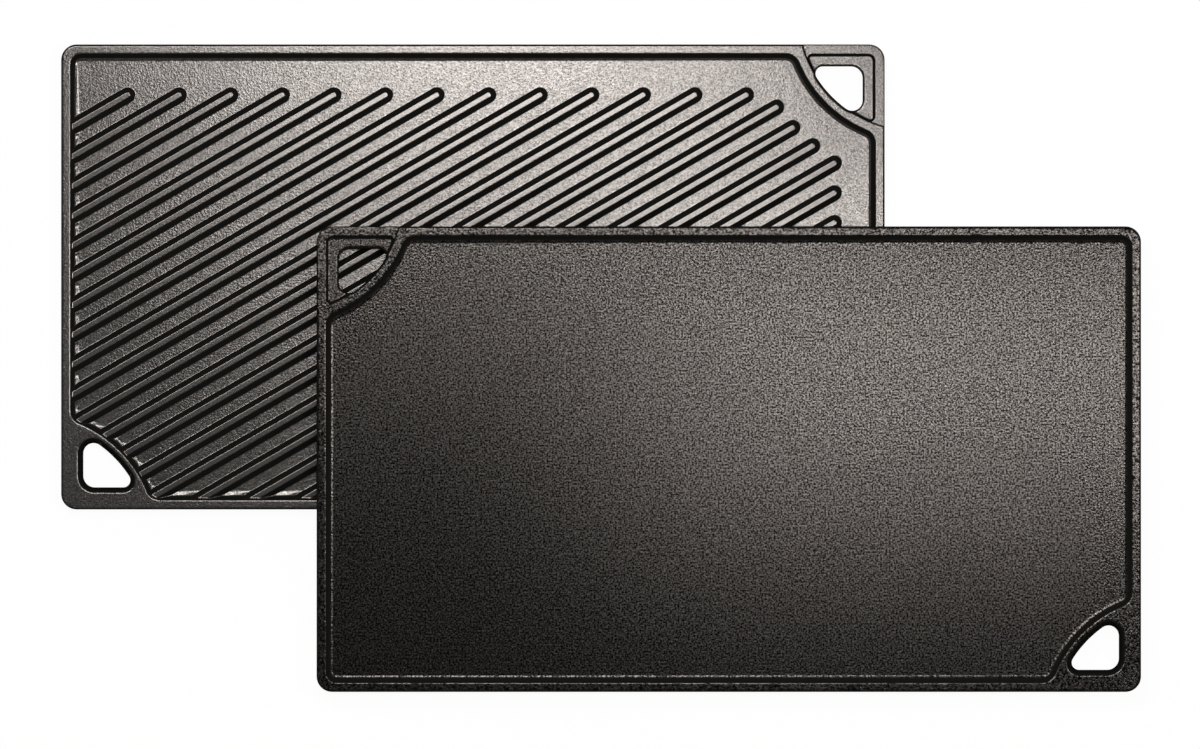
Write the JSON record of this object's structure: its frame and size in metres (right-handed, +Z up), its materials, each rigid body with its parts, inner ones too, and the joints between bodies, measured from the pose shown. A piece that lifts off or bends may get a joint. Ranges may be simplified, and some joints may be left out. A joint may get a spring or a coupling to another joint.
{
  "type": "griddle plate",
  "caption": "Stacked reversible cast-iron camp griddle plates, each with a smooth face, a slant-ribbed grill face and hand loops in opposite corners.",
  "frame": {"origin": "middle of the stack's outline, on the surface that the lower plate lies on", "axes": "+X along the long sides, to the right in the picture; +Y across the plates, to the top of the picture; +Z up"},
  "size_m": [0.557, 0.334, 0.023],
  "materials": {
    "seasoned_iron": "sand-cast grain under black oil seasoning, satin"
  },
  "bodies": {
    "lower_plate": {"ribbed_side_up_plate": "seasoned_iron"},
    "upper_plate": {"smooth_side_up_plate": "seasoned_iron"}
  },
  "joints": [
    {"name": "upper_plate_lift", "type": "slide", "parent": "lower_plate", "child": "upper_plate", "axis": [0, 0, 1], "range_m": [0, 0.12]}
  ]
}
